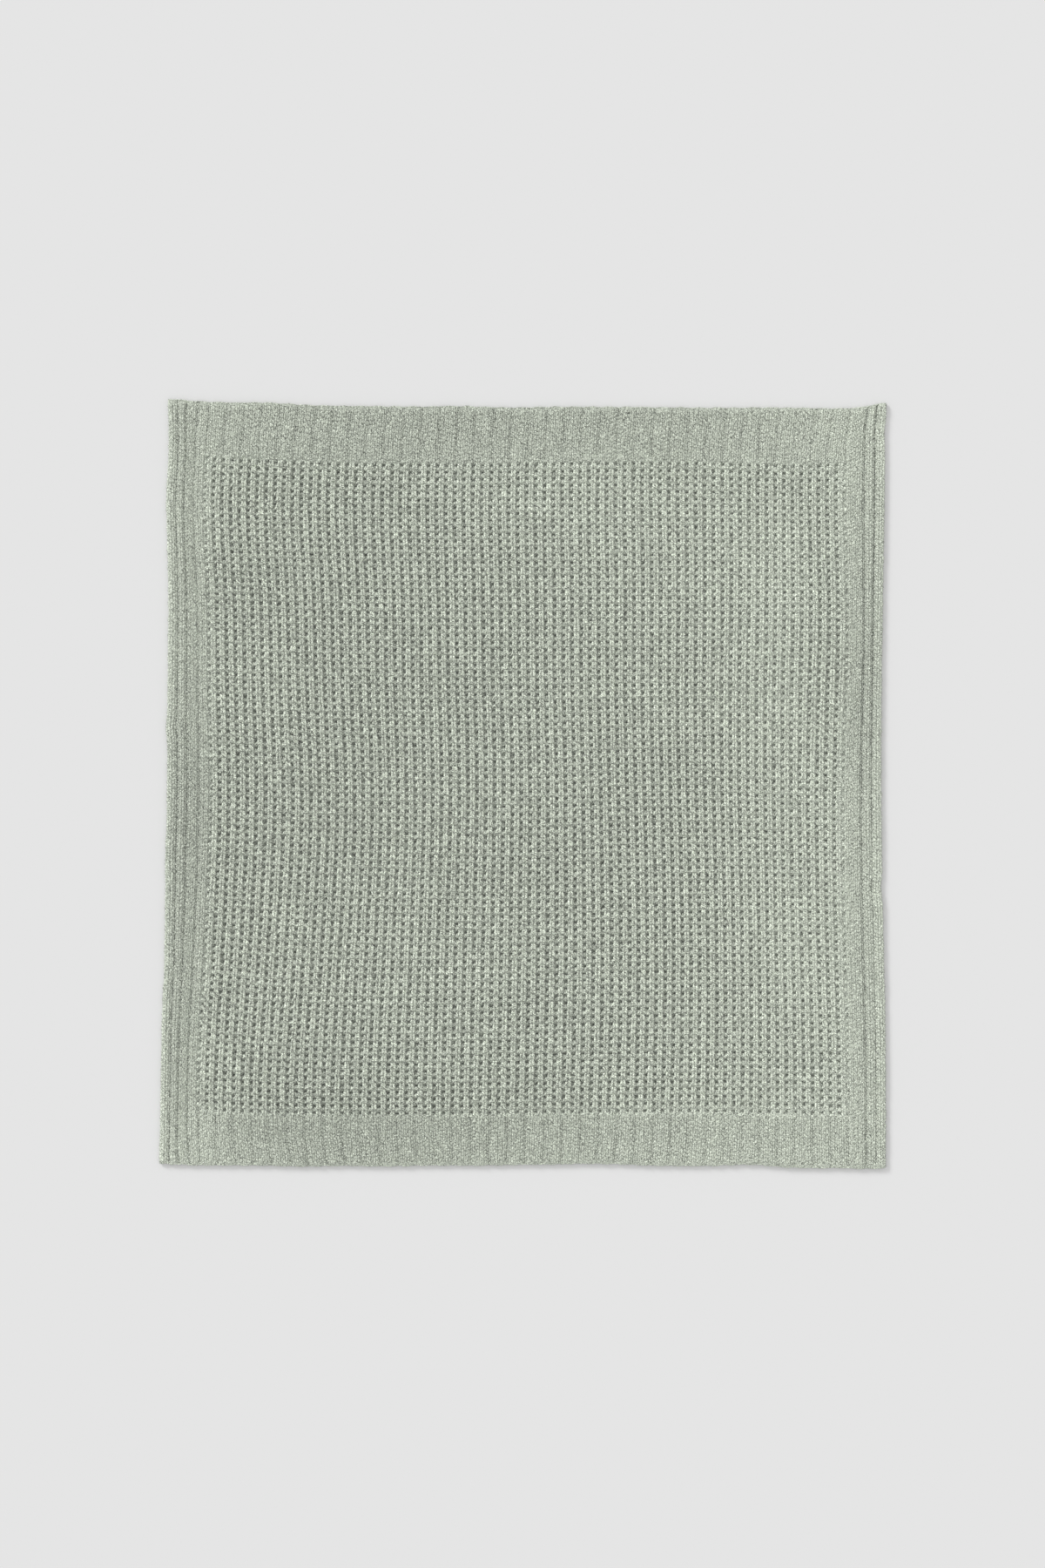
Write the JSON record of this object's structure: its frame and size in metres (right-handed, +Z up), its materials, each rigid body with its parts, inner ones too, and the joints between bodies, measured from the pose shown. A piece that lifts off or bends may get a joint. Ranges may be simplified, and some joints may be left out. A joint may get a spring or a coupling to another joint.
{
  "type": "waffle knit cotton blanket",
  "caption": "Sage green waffle knit cotton blanket laid out flat, with plain knitted bands along two edges and ribbed sides.",
  "frame": {"origin": "middle of the outline's box, on the flat underside that rests on the surface", "axes": "+X runs across the waffle columns, +Y runs along them towards the top band, +Z is up through the cloth"},
  "size_m": [0.836, 0.885, 0.0069],
  "materials": {
    "sage_cotton": "matt, fuzzy cotton yarn in a soft sage green"
  },
  "bodies": {
    "root": {"blanket": "sage_cotton"}
  },
  "joints": []
}
